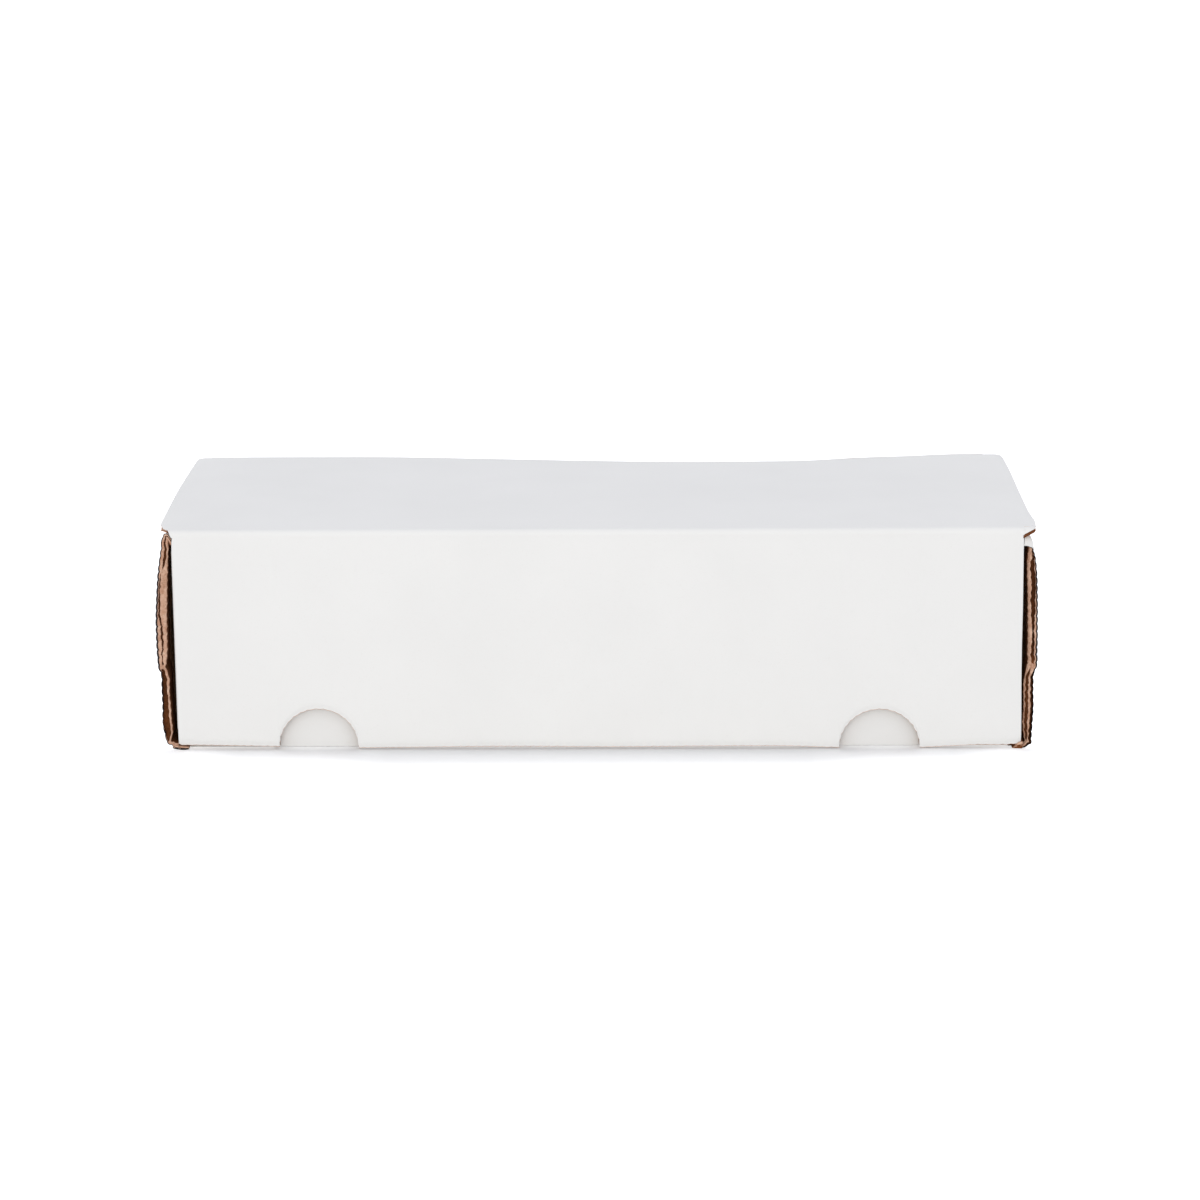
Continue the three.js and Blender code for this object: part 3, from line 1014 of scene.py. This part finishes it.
def ear(end):
    """An ear turned back from the flap's side, with rounded far corners."""
    node = "flap_ear_" + LABELS[end]
    low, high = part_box(node)

    def line(y, slant, rounding):
        share = (y - low.y) / (high.y - low.y)
        return slant * share + rounding * share ** 8

    def foot(y):
        return low.z + line(y, *EAR_FOOT)

    def head(y):
        return high.z - line(y, *EAR_HEAD) - EAR_ROOM

    return side_flap(node, "ear_" + LABELS[end], end, low.y, high.y, foot, head)


# The floor of the box.

# The crushed toes, left and right: where the tip is, thickness and lift in millimetres from
# the tip outward, and the finish of their inside and of the lower part of their front.
# The left toe's near-black lower front is painted shade under the flap over the cut edge's brown.
TOES = {
    -1: (
        137 * MM,
        [(0, 0.6), (0.5, 0.95), (2, 1.3), (4, 1.2), (6, 0.9)],
        [(0, 0.25), (1, 0.05), (3, 0.1), (4.6, 0.4), (6, 0.9)],
        "edge", "painted_shade",
    ),
    1: (
        138.9 * MM,
        [(0, 0.15), (0.6, 0.5), (1.3, 1.5), (2.2, 2.2), (4, 2.6)],
        [(0, 0.2), (1, 0), (4, 0), (6, 0.4)],
        "medium", "medium",
    ),
}
TOE_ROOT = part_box("dust_flap_front_left")[0].y - 3.2 * MM
TOE_OUT = 1.9 * MM
TOE_FORWARD = 0.4 * MM
TOE_LIFT = 0.02 * MM

# The lines that divide the floor, beside those of its outline and slots.
FLOOR_COLUMNS = np.linspace(-120, 120, 25) * MM
FLOOR_ROWS = np.linspace(-40, 44, 13) * MM


def toe(piece, end):
    """A crushed toe at a front corner of the floor."""
    tip, thick_at, lift_at, inside, low_front = TOES[end]
    reach = np.linspace(0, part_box("bottom_panel")[1].x + TOE_OUT - tip, 30)
    y = spread(PLY_FRONT - TOE_FORWARD, TOE_ROOT, 1 * MM, True)
    reach, y = np.meshgrid(reach, y, indexing="ij")
    out = tip + reach
    y = y + teeth(out, 40 + end) * fall(y - PLY_FRONT, 1.5 * MM)
    low = straight(reach, lift_at) * fall(y - PLY_FRONT, 9 * MM) + TOE_LIFT
    outer = stack(end * out, y, low)
    inner = stack(end * out, y, low + straight(reach, thick_at))
    flat = stack(out, y)
    piece.plate(outer, inner, flat, ["dark", "dark", None, "dark"], "white", inside)
    level = np.linspace(0, 1, 6)[:, None]
    front = outer[:, 0] + (inner[:, 0] - outer[:, 0]) * level[:, :, None]
    ragged = 0.3 * noise(out[1:, 0], 0.5 * MM, 50 + end) * (-1) ** np.arange(5)[:, None]
    # On the left toe the lower band of the front is painted shade.
    finish = np.where(level[1:] + ragged > 0.7, "edge", low_front)
    piece.grid(front, np.broadcast_to(flat[:, 0], front.shape[:2] + (2,)), finish)


def bottom():
    """The floor, with the slots for the locking tabs and its two toes."""
    piece = Piece()
    low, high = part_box("bottom_panel")
    front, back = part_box("front_wall")[1].y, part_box("back_wall")[0].y
    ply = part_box("end_wall_inner_right")
    slot_in, slot_out = ply[0].x - TAB_ROOM, ply[1].x + TAB_ROOM
    slot_half = TAB_HALF + TAB_ROOM
    toe_side = WALL_HALF + 0.3 * MM
    lines = [side * x for side in (-1, 1) for x in (high.x, toe_side, slot_in, slot_out)]
    xs = np.unique([*lines, *FLOOR_COLUMNS])
    lines = [tab + side * slot_half for tab in tab_middles() for side in (-1, 1)]
    ys = np.unique([TOE_ROOT, front, back, high.y, *lines, *FLOOR_ROWS])
    x, y = np.meshgrid((xs[:-1] + xs[1:]) / 2, (ys[:-1] + ys[1:]) / 2, indexing="ij")
    board = (abs(x) > toe_side) | ((y > front) & (y < back))
    for tab in tab_middles():
        board &= (abs(x) < slot_in) | (abs(x) > slot_out) | (abs(y - tab) > slot_half)
    around = np.pad(board, 1)
    for i, j in np.argwhere(board):
        x, y = np.meshgrid(xs[i:i + 2], ys[j:j + 2], indexing="ij")
        piece.grid(stack(x, y, low.z), stack(x, y), "white")
        piece.grid(stack(x, y, high.z), stack(x, y), "kraft")
        for beside, a, b in (
            ((-1, 0), (0, 0), (0, 1)), ((1, 0), (1, 0), (1, 1)),
            ((0, -1), (0, 0), (1, 0)), ((0, 1), (0, 1), (1, 1)),
        ):
            if around[i + 1 + beside[0], j + 1 + beside[1]]:
                continue
            side_x, side_y = (np.array([values[a], values[b]]) for values in (x, y))
            side_z = np.array([[low.z], [high.z]])
            across = side_y if beside[0] else 0 * side_x
            piece.grid(stack(side_x, side_y, side_z), stack(across, side_z), "core")
    for end in LABELS:
        toe(piece, end)
    return piece.build("floor_board")


# The two creases that turn.

# How far in a point has turned with the lid in full, the bead on the back one's kraft side,
# its thickness where it joins the wall, and the length that both creases' columns divide.
TURNED = CREASE - 0.3 * MM
BEAD = 1.3 * MM
JOINED = 0.25 * MM
CREASE_LENGTH = 280 * MM


def crease(name, side):
    """The strip of board that bends where two panels turn on each other."""
    piece = Piece()
    back = side > 0
    face = BACK if back else FRONT
    lead = np.linspace(LEAD, 0, 6)[:-1]
    angles = np.hstack([0 * lead, np.linspace(0, math.pi / 2, 19), [math.pi / 2]])
    inset = CREASE - CREASE * np.sin(angles)
    down = CREASE - CREASE * np.cos(angles)
    inset[:len(lead)] += lead
    down[-1] += LEAD
    # Points whose inset lies between just past the crushed thickness and TURNED are left out, so
    # the strip spans the joint in one step.
    turning = CRUSHED + 0.05 * MM
    kept = (inset < turning) | (inset > TURNED)
    run = travel(inset[kept], down[kept])[:, None]
    angles, inset, down = (values[kept][:, None] for values in (angles, inset, down))
    if back:
        # A bead inside keeps the kraft in front of the white when the lid lies open.
        bead = BEAD * fall(inset - TURNED, FOLD - TURNED)
        thick = np.where(inset < turning, JOINED, CRUSHED + bead) * np.cos(angles)
        left, right = -WALL_HALF, WALL_HALF
    else:
        # Only the left end narrows from the lid's width to the flap's.
        thick = CRUSHED * np.cos(angles)
        wide = lid_side(FRONT + FOLD, -1)
        left = wide + (flap_side(TOP - FOLD, -1) - wide) * run / run[-1]
        right = flap_side(TOP - FOLD, 1)
    deep = np.maximum(inset, np.minimum(inset + CRUSHED * np.sin(angles), turning))
    x = left + (right - left) * shares_of(CREASE_LENGTH, 3.5 * MM)
    z = TOP - down - lid_drop(x, face - side * FOLD)
    outer = stack(x, face - side * inset, z)
    inner = stack(x, face - side * deep, z - thick)
    piece.plate(outer, inner, stack(x, run), ["kraft", "kraft", "dark", "fold"])
    strip = piece.build(name)
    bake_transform(strip)


# Putting the pieces in place.


def place(piece, body, *nodes):
    """A piece on the body that it moves with, in place of its nodes."""
    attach(piece, body)
    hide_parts(*nodes)


place(lid(), "lid", "lid_panel")
place(flap(), "flap", "lid_front_flap")
place(long_wall("front_board", -1), "tray", "front_wall")
place(long_wall("back_board", 1), "tray", "back_wall")
place(bottom(), "tray", "bottom_panel")
for end, label in LABELS.items():
    place(outer_ply(end), "tray", "end_wall_outer_" + label)
    place(top_strip(end), "tray", "end_wall_top_" + label)
    place(inner_ply(end), "tray", "end_wall_inner_" + label)
    place(ear(end), "flap", "flap_ear_" + label)
    for wall in ("front", "back"):
        place(dust_flap(wall, end), "tray", "dust_flap_" + wall + "_" + label)
crease("back_crease", 1)
crease("front_crease", -1)


# Floor, light and camera.

# The distance that the floor's painted shadow and painted light go by counts from this far inside
# the box's front and back. Along the box it grows from the first distance on, up to a limit, and again
# from the second one on.
SHADE_INSET = 6 * MM
SHADE_ASIDE = 70 * MM, 120 * MM
ASIDE_LIMIT = 7 * MM
NOTCH_MIDDLE = 94 * MM
NOTCH_HALF = 13 * MM

# Distances from the box between which the floor's painted light rises, and its values there:
# the first two fade the shadow near the box, and the last whitens the floor further off.
GLOWS = (0.0135, 0.0255, 0.0, 0.24), (0.026, 0.046, 0.0, 0.1), (0.066, 0.306, 0.0, 0.7)


def seen_rays(n):
    """1 for rays that show the floor or the background, directly, in a gloss or through glass."""
    rays = n.add("LightPath").outputs
    total = rays["Is Camera Ray"]
    for name in ("Is Glossy Ray", "Is Transmission Ray"):
        total = n.math("MAXIMUM", total, rays[name])
    return total


def shadow_light(n):
    """The floor's painted shadow and painted light: how its colour darkens near the box, and how it
    brightens away from the box's front and back, and under the flap.
    """
    def beyond(value, edge):
        return n.math("MAXIMUM", n.math("SUBTRACT", n.math("ABSOLUTE", value), edge))

    def ease(value, *ends):
        return n.clip(value, *ends, kind="SMOOTHSTEP")

    x, y = n.add("SeparateXYZ", n.add("NewGeometry").outputs["Position"]).outputs[:2]
    out = beyond(y, cad_box[1][1] - SHADE_INSET)
    near, far = (beyond(x, edge) for edge in SHADE_ASIDE)
    near = n.math("MINIMUM", n.math("MULTIPLY", near, 0.3), ASIDE_LIMIT)
    past = n.math("MULTIPLY_ADD", far, 0.5, n.math("ADD", out, near))
    # The floor's colour darkens near the box: a painted shadow.
    colour = ease(past, 0.007, 0.015, 0.83, 0.98)
    from_notch = beyond(n.math("SUBTRACT", n.math("ABSOLUTE", x), NOTCH_MIDDLE), NOTCH_HALF)
    # Painted light under the flap, weaker at the notches, lifts the floor's shade in the gap.
    painted_light_under_flap = ease(out, 0.003, 0.0068, 0.5, 0.0)
    glow = n.math("MULTIPLY", painted_light_under_flap, ease(from_notch, 0.0, 0.003, 0.35, 1.0))
    for ends in GLOWS:
        glow = n.math("ADD", glow, ease(past, *ends))
    return colour, glow


def studio_floor():
    """A matt floor that gives light as one tone, and is seen with its shadow, a painted shadow and
    painted light round the box.
    """
    bpy.ops.mesh.primitive_plane_add(size=12)
    floor = bpy.context.object
    floor.name = "studio_floor"
    n = Nodes("studio_floor")
    n.tree.nodes.clear()
    matte = n.value("BsdfDiffuse", Color=(0.86, 0.86, 0.86, 1))
    colour, rise = shadow_light(n)
    glow = n.value("Emission", Color=(1, 1, 1, 1), Strength=rise)
    shown = n.value("AddShader", n.value("BsdfDiffuse", Color=colour), glow)
    n.add("OutputMaterial", n.value("MixShader", seen_rays(n), matte, shown))
    floor.data.materials.append(n.owner)


def studio_world():
    """A sky that gives light as a dim blue, and is seen white."""
    n = Nodes("studio", bpy.data.worlds.new("studio"))
    bpy.context.scene.world = n.owner
    n.tree.nodes.clear()
    dim = n.value("Background", Color=(0.925, 0.945, 1.0, 1), Strength=0.88)
    shown = n.value("Background", Color=(1, 1, 1, 1), Strength=1.0)
    n.add("OutputWorld", n.value("MixShader", seen_rays(n), dim, shown))


studio_floor()
studio_world()

SOFTBOX_PLACE = Vector((-0.25, -2.0, 0.55))
SOFTBOX_AIM = Vector((0, 0, 0.03))
light = bpy.data.lights.new("front_softbox", "AREA")
light.shape = "RECTANGLE"
light.size, light.size_y = 1.7, 0.9
light.energy = 9.4
light.color = (1.0, 0.955, 0.82)
softbox = in_scene("front_softbox", light)
softbox.location = SOFTBOX_PLACE
softbox.rotation_euler = (SOFTBOX_AIM - SOFTBOX_PLACE).to_track_quat("-Z", "Y").to_euler()

TILT = math.radians(16.29)
ROLL = math.radians(-0.12)
DISTANCE = 1.223
ASIDE = 0.9 * MM
AIM_HEIGHT = 0.037
camera = bpy.data.cameras.new("camera")
camera.sensor_width = 36
camera.lens = 105.9
camera.clip_end = 50
holder = in_scene("camera", camera)
spot = (ASIDE, -DISTANCE * math.cos(TILT), AIM_HEIGHT + DISTANCE * math.sin(TILT))
turn = Matrix.Rotation(math.pi / 2 - TILT, 4, "X") @ Matrix.Rotation(ROLL, 4, "Z")
holder.matrix_world = Matrix.Translation(spot) @ turn
bpy.context.scene.camera = holder

bpy.context.scene.view_settings.view_transform = "Standard"
